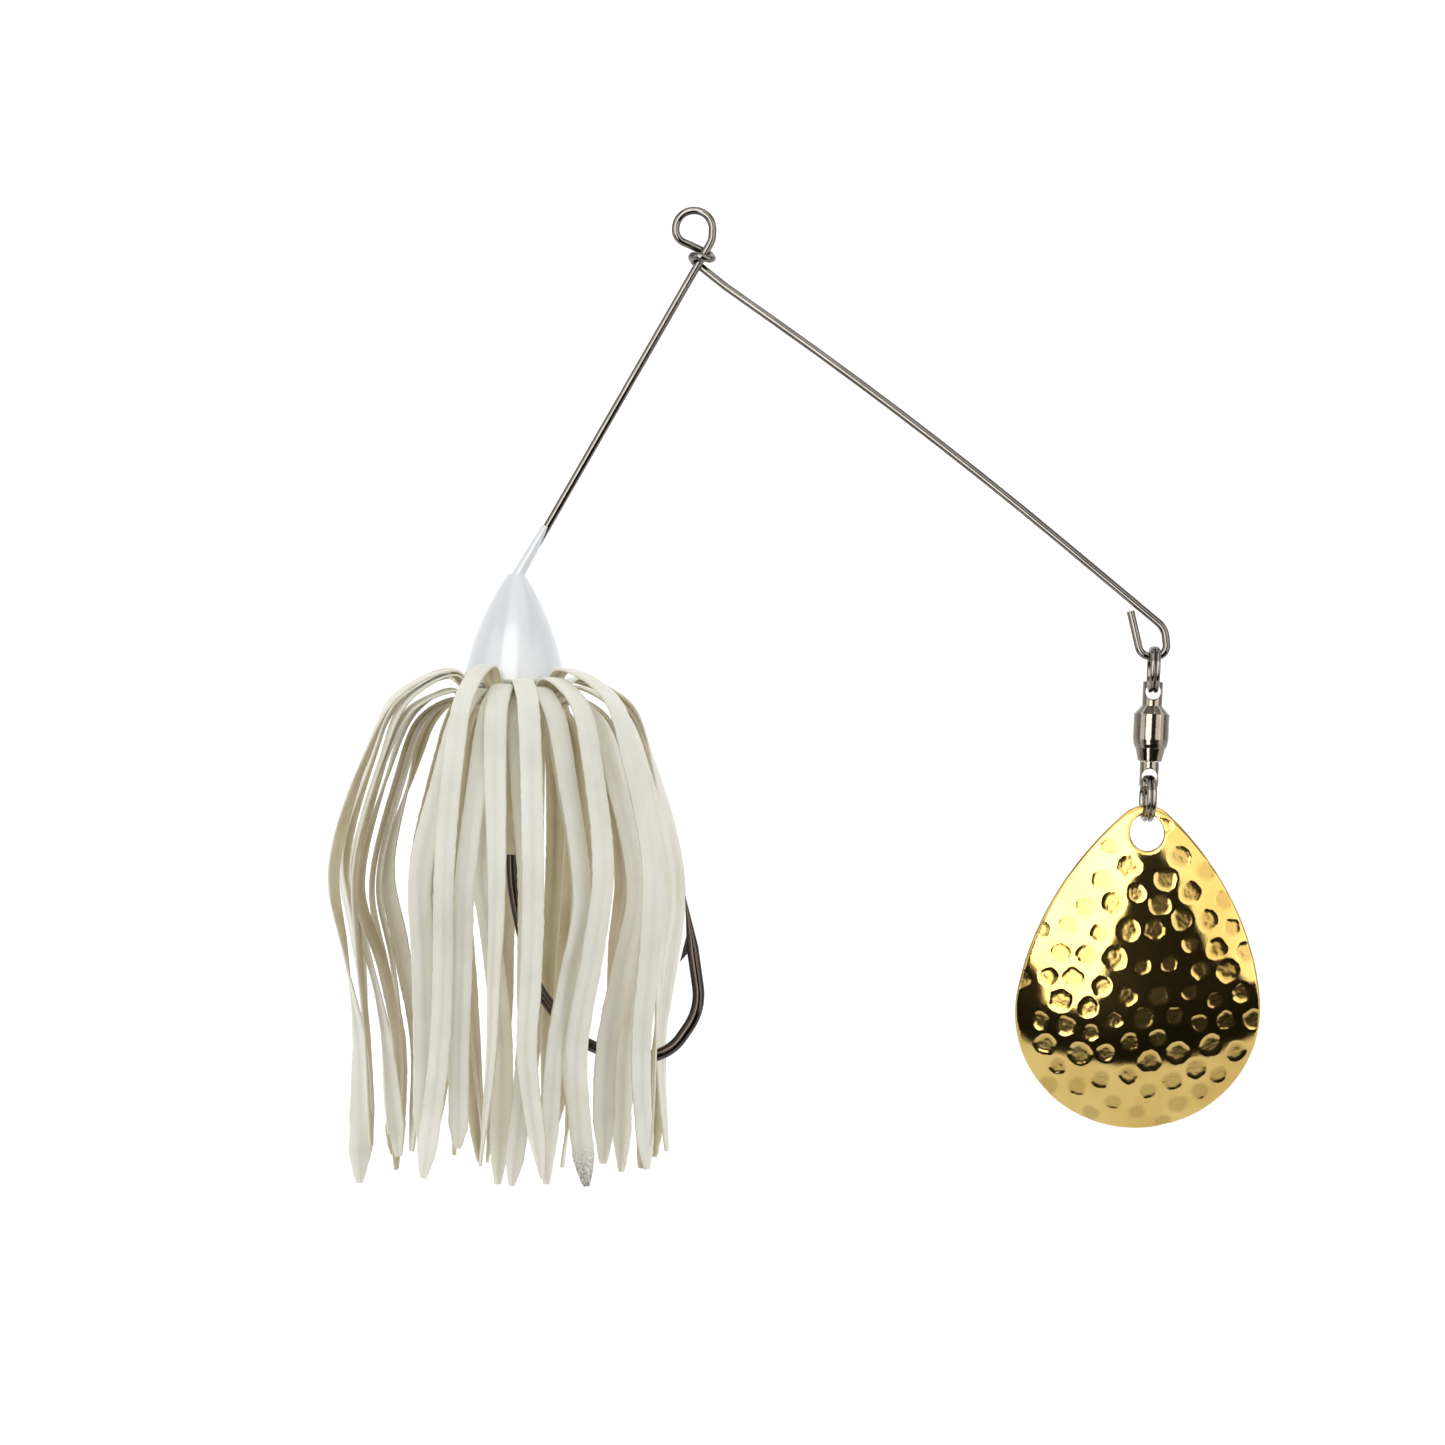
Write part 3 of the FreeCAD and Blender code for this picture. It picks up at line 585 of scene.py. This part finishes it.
def hang(turn, wrap):
    """Corner points of one strand and how it turns, from its root in the sleeve to its tip.

    Radii and heights are millimetres from the head's axis and base. Strands on the right, the side
    of the blade, reach out further and keep more of their reach at the waist.
    """
    rightness = math.cos(turn)
    root = 2.8 + wrap * PLY
    crest = -0.55 - wrap * 0.75
    reach = WRAP_REACH[wrap] + dice.uniform(-0.6, 0.6) + max(0.0, rightness) * (3.2 - wrap * 0.2)
    reach += max(0.0, -rightness) * 1.2
    rise = dice.uniform(0.8, 3.4) * (1 - wrap * 0.15)
    belly = -dice.uniform(26, 34)
    waist = reach * (dice.uniform(0.77, 0.86) + 0.12 * max(0.0, rightness))
    tip = -dice.uniform(68.5, 77.5)
    sway = dice.uniform(-2.6, 2.6)
    wander = sway * 0.4 + dice.uniform(-3.0, 3.0)
    drift = wander + dice.uniform(-3.0, 3.0)
    between = (reach + waist) / 2
    stations = [
        (root, crest - 3.4, 0.0),
        (root, crest - 1.2, 0.0),
        (root + 1.1, crest - 0.1, 0.0),
        (7.2, crest + 0.02, 0.0),
        (10.2, crest + rise, 0.0),
        (reach * 0.68, crest - 2.8 + rise * 0.5, sway * 0.1),
        (reach * 0.84, -11.5 - wrap, sway * 0.4),
        (reach, belly, sway),
        (between + dice.uniform(-0.8, 0.8), belly - 12, (sway + wander) / 2),
        (waist + dice.uniform(-0.6, 0.6), -56, wander),
        (waist + dice.uniform(-1.2, 1.2), tip, drift),
    ]
    points = [from_head(turn, r, h, slide)[0] for r, h, slide in stations]
    lazy, tail = dice.uniform(-0.5, 0.5), dice.uniform(-1.2, 1.2)
    if dice.random() < 0.25:
        tail *= 1.8
        lazy *= 2.0

    def turn_of(share):
        start = max(0.0, share - 0.22) / 0.78
        return lazy * math.sin(start * math.pi * 1.3) + tail * start**2

    return points, turn_of


def cut_width(wide, oblique):
    """Full width to within a few millimetres of the end, then cut to a point."""

    def width_of(at, length):
        left = length - at
        share = min(1.0, left / oblique)
        root = min(1.0, 0.78 + at * 0.04)
        return wide * root * (0.28 + 0.72 * share**0.8)

    return width_of


# %% [markdown]
# ## Sleeve wraps
# Below the slits each wrap is a plain tube of the sheet. It is turned as on a lathe from eight
# points: under its lower edge, up the outside, over the upper edge and down the inside.

# %% Sleeve and strands of each wrap
GAP = math.radians(15)  # no strand starts nearer than this to the blade's direction
STAINED_STRAND = (1, 6)  # one strand's tip is stained: its wrap and its place in the wrap
STAIN_LENGTH = 7
AROUND = 72


def sleeve_wrap(wrap):
    inner = 2.58 + wrap * PLY
    low, high = -26.5 + wrap * 0.3, -0.75 - wrap * 0.8 - 2.2
    outer, edge = inner + SHEET, SHEET * 0.22
    outline = [
        (inner, low + edge), (inner + edge, low), (outer - edge, low), (outer, low + edge),
        (outer, high - edge), (outer - edge, high), (inner + edge, high), (inner, high - edge),
    ]
    points = [
        from_head(math.tau * k / AROUND, r, h)[0] * MM for k in range(AROUND) for r, h in outline
    ]
    n, faces = len(outline), []
    for k in range(AROUND):
        for j in range(n):
            here, beside = k * n, ((k + 1) % AROUND) * n
            faces.append((here + j, beside + j, beside + (j + 1) % n, here + (j + 1) % n))
    mesh = bpy.data.meshes.new("sleeve")
    mesh.from_pydata(points, [], faces)
    # The whole sleeve takes the tan painted shade of the ribbons' other side.
    for label, value in (("show_side", -0.8), ("stain", 0.0)):
        store = mesh.attributes.new(label, "FLOAT", "POINT").data
        store.foreach_set("value", [value] * len(points))
    mesh.polygons.foreach_set("use_smooth", [True] * len(faces))
    mesh.materials.append(latex)
    return object_from("sleeve", mesh)


def joined(name, first, second):
    """One mesh object from two."""
    both = [first, second]
    with bpy.context.temp_override(
        active_object=first, selected_editable_objects=both, selected_objects=both
    ):
        bpy.ops.object.join()
    first.name = first.data.name = name
    return first


for wrap, number in enumerate(WRAP_COUNTS):
    strands = Strands()
    for k in range(number):
        spacing = (math.tau - 2 * GAP) / number
        turn = GAP + spacing * ((k + WRAP_PHASE[wrap]) % number + dice.uniform(-0.2, 0.2))
        turn = min(max(turn, GAP), math.tau - GAP)
        points, turn_of = hang(turn, wrap)
        path, length = smooth_path(points, PATH_POINTS)
        wide = STRAND * dice.uniform(0.88, 1.1)
        width_of = cut_width(wide, dice.uniform(3.0, 8.0))
        stain_length = STAIN_LENGTH if (wrap, k) == STAINED_STRAND else 0
        strands.ribbon(path, length, turn_of, width_of, stain_length, from_head(turn, 1, 0)[1])
    title = "skirt_wrap_%d_rubber" % (wrap + 1)
    piece = grow(title, strands.mesh("paths"), ribbons, latex, RIBBON_SIZES)
    piece = joined(title, piece, sleeve_wrap(wrap))
    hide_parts("skirt_wrap_%d" % (wrap + 1))
    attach(piece, "frame")

# %% [markdown]
# ## Hammered blade
# The blade is stamped from brass sheet, dished, hammered with a round-ended punch from its domed
# side, and then plated bright gold. Its plain sheet is meshed evenly here, both faces together. The
# tree scatters punch marks over the front and moves both faces by the same amount, so the metal
# keeps its thickness and each pit on the front is a pimple on the back. The tree also stores where
# the pits are, so that the gold can be painted darker inside them as painted shade.

# %% Hammer tree
HAMMER_SIZES = {
    "Depth": 0.125 * MM,
    "Radius": 1.8 * MM,
    "Spacing": 4.0 * MM,
    "Raggedness": 0.9 * MM,
    "Floor grain": 0.06 * MM,
    "Seed": 7,
}
MARKS_PER_M2 = 3000000.0  # more than fit, so the spacing alone decides
SMALLEST_MARK, LARGEST_MARK = 0.82, 1.14
WAVE_DEPTH = 0.12 * MM
hammer, given = new_tree("hammer_marks", HAMMER_SIZES)
has = stored(hammer, ("middle", "outward", "front"))
# Where the punch struck, and how far along the sheet each point is from the nearest strike.
on_front = add(hammer, MATH, {0: has["front"], 1: 0.5}, operation="GREATER_THAN")
strikes = add(
    hammer,
    "GeometryNodeDistributePointsOnFaces",
    {
        "Mesh": given["Geometry"],
        "Selection": on_front,
        "Distance Min": given["Spacing"],
        "Density Max": MARKS_PER_M2,
        "Seed": given["Seed"],
    },
    distribute_method="POISSON",
)
looking = {"Geometry": strikes, "Sample Position": has["middle"]}
nearest = add(hammer, "GeometryNodeSampleNearest", looking, domain="POINT")
position = add(hammer, "GeometryNodeInputPosition")
struck_at = add(
    hammer,
    "GeometryNodeSampleIndex",
    {"Geometry": strikes, "Value": position, "Index": nearest},
    data_type="FLOAT_VECTOR",
    domain="POINT",
)
back_to = add(hammer, VECTOR, {0: struck_at, "Scale": -1.0}, operation="SCALE")
away = add(hammer, VECTOR, {0: has["middle"], 1: back_to}, operation="ADD")
climb = add(hammer, VECTOR, {0: away, 1: has["outward"]}, operation="DOT_PRODUCT")
climb = add(hammer, MATH, {0: climb.outputs["Value"], 1: -1.0}, operation="MULTIPLY")
climb = add(hammer, VECTOR, {0: has["outward"], "Scale": climb}, operation="SCALE")
flat = add(hammer, VECTOR, {0: away, 1: climb}, operation="ADD")
distance = add(hammer, VECTOR, {0: flat}, operation="LENGTH").outputs["Value"]

# Three noises of real size, each centred on nought: ragged rims, grainy floors, a wavy sheet.
noises = []
for size, detail in ((1.5 * MM, 1.0), (0.55 * MM, 2.0), (7 * MM, 1.0)):
    noise = add(hammer, NOISE, {"Vector": has["middle"], "Scale": 1 / size, "Detail": detail})
    noises.append(add(hammer, MATH, {0: noise, 1: 0.5}, operation="SUBTRACT"))
ragged, grainy, wavy = noises

ragged = add(hammer, MATH, {0: ragged, 1: given["Raggedness"]}, operation="MULTIPLY")
uneven = {2: SMALLEST_MARK, 3: LARGEST_MARK, "ID": nearest, "Seed": 3}
size_here = add(hammer, "FunctionNodeRandomValue", uneven).outputs[1]
reach = add(hammer, MATH, {0: distance, 1: ragged}, operation="ADD")
radius = add(hammer, MATH, {0: given["Radius"], 1: size_here}, operation="MULTIPLY")
share = add(hammer, MATH, {0: reach, 1: radius}, operation="DIVIDE")
falling = {"Value": share, "From Min": 0.56, "From Max": 1.0, "To Min": 1.0, "To Max": 0.0}
pit = add(hammer, RANGE, falling, interpolation_type="SMOOTHSTEP")
grainy = add(hammer, MATH, {0: grainy, 1: given["Floor grain"]}, operation="MULTIPLY")
grainy = add(hammer, MATH, {0: grainy, 1: pit}, operation="MULTIPLY")
grainy = add(hammer, MATH, {0: grainy, 1: 2.0}, operation="MULTIPLY")
wavy = add(hammer, MATH, {0: wavy, 1: WAVE_DEPTH}, operation="MULTIPLY")
shift = add(hammer, MATH, {0: grainy, 1: wavy}, operation="ADD")
sunk = add(hammer, MATH, {0: pit, 1: given["Depth"]}, operation="MULTIPLY")
shift = add(hammer, MATH, {0: shift, 1: sunk}, operation="SUBTRACT")
shift = add(hammer, VECTOR, {0: has["outward"], "Scale": shift}, operation="SCALE")
moving = {"Geometry": given["Geometry"], "Offset": shift}
beaten = add(hammer, "GeometryNodeSetPosition", moving)
beaten = add(
    hammer,
    "GeometryNodeStoreNamedAttribute",
    {"Geometry": beaten, "Name": "pit", "Value": pit},
    data_type="FLOAT",
    domain="POINT",
)

# %% [markdown]
# ## Gold plate
# Bright gold over brass is a deep yellow metal. It is mirror-like between the marks and grainy and
# a little rougher inside them, where its colour is also painted darker as painted shade.

# %% Gold
TONE_MM, PLATE_GRAIN_MM = 8, 0.22
gold, tree, shader = new_material("bright_gold_plate_on_brass")
where = add(tree, "ShaderNodeTexCoord").outputs["Object"]
pitted = add(tree, "ShaderNodeAttribute", attribute_name="pit").outputs["Fac"]
tone = add(tree, NOISE, {"Vector": where, "Scale": 1 / (TONE_MM * MM), "Detail": 3})
gilt = add(tree, "ShaderNodeValToRGB", {"Fac": tone}, [(0.3, "#BB9C58"), (0.7, "#CBB06C")])
# Painted shade: inside the pits the gold is mixed towards dark brown, where shade falls.
pit_painted_shade = add(tree, MATH, {0: pitted, 1: 0.4}, operation="MULTIPLY")
gilt_with_pit_shade = add(tree, MIX, {"Factor": pit_painted_shade, MIX_A: gilt, MIX_B: hexed("#7E6632")}, data_type="RGBA")
grain_inputs = {"Vector": where, "Scale": 1 / (PLATE_GRAIN_MM * MM), "Detail": 6, "Roughness": 0.65}
grain = add(tree, NOISE, grain_inputs)
from_grain = add(tree, MATH, {0: grain, 1: 0.08}, operation="MULTIPLY")
from_pits = add(tree, MATH, {0: pitted, 1: 0.08}, operation="MULTIPLY")
roughness = add(tree, MATH, {0: from_grain, 1: from_pits}, operation="ADD")
roughness = add(tree, MATH, {0: roughness, 1: 0.025}, operation="ADD")
strength = add(tree, MATH, {0: pitted, 1: 0.45}, operation="MULTIPLY")
strength = add(tree, MATH, {0: strength, 1: 0.12}, operation="ADD")
relief = add(tree, BUMP, {"Height": grain, "Strength": strength, "Distance": 0.03 * MM})
tree.links.new(gilt_with_pit_shade.outputs[MIXED], shader.inputs["Base Color"])
tree.links.new(roughness.outputs["Value"], shader.inputs["Roughness"])
tree.links.new(relief.outputs["Normal"], shader.inputs["Normal"])
shader.inputs["Metallic"].default_value = 1.0
end_tree(hammer, beaten, gold)

# %% [markdown]
# ## Blade sheet
# The outline is a round lower end, two long side arcs and a small round tip. Points are laid evenly
# inside it, in rows along its edge and round its hole, and joined by the triangles that suit them
# best. Every point is then put on the dish, once for the front face and once for the back. The rows
# nearest an edge are thinner, because the edge is tumbled round.

# %% Blade outline
BLADE_LENGTH = 51.2
ROUND_R = 0.374 * BLADE_LENGTH
SIDE_R = 0.88 * BLADE_LENGTH
SIDE_START = math.radians(8)
DISH_R = 52.0
MIDDLE = -0.54 * BLADE_LENGTH
HOLE_R = 2.65
HOLE_Z = -(1.3 + HOLE_R)
BLADE_T = 0.8
PIVOT = Vector((74.5, 0, -88.295))
TILT = math.radians(9.71)
STEP = 0.27
ROW_SHARE = 0.866  # row height for equal-sided triangles
EDGE_ROWS = ((0.0, 0.5), (0.12, 0.86), (0.3, 1.0))  # how far in, and the share of the thickness
EDGE_ROOM, HOLE_ROOM, END_ROOM, LOOK_AHEAD = 0.3, 0.5, 0.5, 0.45
FLANK_POINTS = 700

round_z = ROUND_R - BLADE_LENGTH
back_off = SIDE_R - ROUND_R
side_x = -back_off * math.cos(SIDE_START)
side_z = round_z - back_off * math.sin(SIDE_START)
tip_r = (side_x**2 + side_z**2 - SIDE_R**2) / (2 * (-SIDE_R - side_z))
joint_z = round_z + ROUND_R * math.sin(SIDE_START)
tip_joint_z = -tip_r + tip_r * (-tip_r - side_z) / math.hypot(side_x, -tip_r - side_z)


def half_width_at(z):
    """Half the blade's width at a height below its tip."""
    if z <= joint_z:
        return math.sqrt(max(ROUND_R**2 - (z - round_z) ** 2, 0.0))
    if z <= tip_joint_z:
        return side_x + math.sqrt(SIDE_R**2 - (z - side_z) ** 2)
    return math.sqrt(max(tip_r**2 - (z + tip_r) ** 2, 0.0))


def even_loop(points, step):
    """Points evenly spaced round a closed loop."""
    reach = [0.0]
    for p, q in zip(points, points[1:] + points[:1]):
        reach.append(reach[-1] + (q - p).length)
    number = round(reach[-1] / step)
    loop, k = [], 0
    for n in range(number):
        want = reach[-1] * n / number
        while reach[k + 1] < want:
            k += 1
        share = (want - reach[k]) / (reach[k + 1] - reach[k])
        loop.append(points[k].lerp(points[(k + 1) % len(points)], share))
    return loop


heights = [
    -BLADE_LENGTH / 2 * (1 - math.cos(math.pi * k / FLANK_POINTS)) for k in range(FLANK_POINTS + 1)
]
flank = [Vector((half_width_at(z), z)) for z in heights]
outline = even_loop(flank + [Vector((-p.x, p.y)) for p in reversed(flank[1:-1])], STEP)
print("blade outline", len(outline), "points, tip radius", round(tip_r, 2), "mm")

# %% Points on the flat blade
flat_points, thin = [], []
for inset, factor in EDGE_ROWS:
    for k, p in enumerate(outline):
        run = (outline[(k + 1) % len(outline)] - outline[k - 1]).normalized()
        flat_points.append(p + Vector((run.y, -run.x)) * inset)
        thin.append(factor)
hole_count = round(math.tau * HOLE_R / STEP)
for inset, factor in EDGE_ROWS:
    for k in range(hole_count):
        a = math.tau * k / hole_count
        r = HOLE_R + inset
        flat_points.append(Vector((r * math.cos(a), HOLE_Z + r * math.sin(a))))
        thin.append(factor)
row = 0
while -BLADE_LENGTH + END_ROOM + row * STEP * ROW_SHARE < -END_ROOM:
    z = -BLADE_LENGTH + END_ROOM + row * STEP * ROW_SHARE
    narrower = min(half_width_at(z - LOOK_AHEAD), half_width_at(min(z + LOOK_AHEAD, 0.0)))
    room = narrower - EDGE_ROOM
    number = int(room / STEP)
    for k in range(-number, number + 1):
        p = Vector(((k + 0.5 * (row % 2)) * STEP, z))
        if abs(p.x) < room and math.hypot(p.x, z - HOLE_Z) > HOLE_R + HOLE_ROOM:
            flat_points.append(p)
            thin.append(1.0)
    row += 1

# %% Blade piece
first_hole = len(outline) * len(EDGE_ROWS)
loops = [list(range(len(outline))), list(range(first_hole, first_hole + hole_count))]
rims = [(a, b) for loop in loops for a, b in zip(loop, loop[1:] + loop[:1])]
placed, _, triangles, came_from = delaunay_2d_cdt(flat_points, rims, [], 0, 1e-6)[:4]
now_at = {old: new for new, olds in enumerate(came_from) for old in olds}
slope = math.asin((HOLE_Z - MIDDLE) / DISH_R)
rim = Vector((0, math.sin(slope), math.cos(slope))) * HOLE_R + Vector((0, 0, HOLE_Z))
tilt = Matrix.Rotation(TILT, 3, "X")
front_and_back, middles, outwards = [], [], []
for side in (1, -1):
    for p, olds in zip(placed, came_from):
        up = p.y - MIDDLE
        half = side * thin[olds[0]] * BLADE_T / 2
        centre_depth = math.sqrt(DISH_R**2 - p.x**2 - up**2)
        for kept, r in ((front_and_back, DISH_R + half), (middles, DISH_R)):
            y = DISH_R * math.cos(slope) - math.sqrt(r**2 - p.x**2 - up**2)
            kept.append((PIVOT + tilt @ (Vector((p.x, y, p.y)) - rim)) * MM)
        outwards.append(tilt @ Vector((p.x, -centre_depth, up)).normalized())


def from_hole(triangle):
    """Distance of a triangle's middle from the hole's centre."""
    x, z = (sum(placed[k][axis] for k in triangle) / 3 for axis in (0, 1))
    return math.hypot(x, z - HOLE_Z)


metal_only = [t for t in triangles if from_hole(t) > HOLE_R - 0.005]
total = len(placed)
faces = [tuple(t) for t in metal_only] + [tuple(k + total for k in reversed(t)) for t in metal_only]
for a, b in rims:
    faces.append((now_at[a], now_at[b], now_at[b] + total, now_at[a] + total))
sheet = bpy.data.meshes.new("blade_sheet")
sheet.from_pydata(front_and_back, [], faces)
turning = bmesh.new()
turning.from_mesh(sheet)
bmesh.ops.recalc_face_normals(turning, faces=turning.faces)
turning.to_mesh(sheet)
turning.free()
for label, values in (("middle", middles), ("outward", outwards)):
    store = sheet.attributes.new(label, "FLOAT_VECTOR", "POINT").data
    store.foreach_set("vector", [c for v in values for c in v])
front = [1.0 if abs(thin[olds[0]] - 1) < 0.01 else 0.0 for olds in came_from] + [0.0] * total
sheet.attributes.new("front", "FLOAT", "POINT").data.foreach_set("value", front)
blade = grow("hammered_blade", sheet, hammer, gold, HAMMER_SIZES)
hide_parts("blade")
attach(blade, "blade")
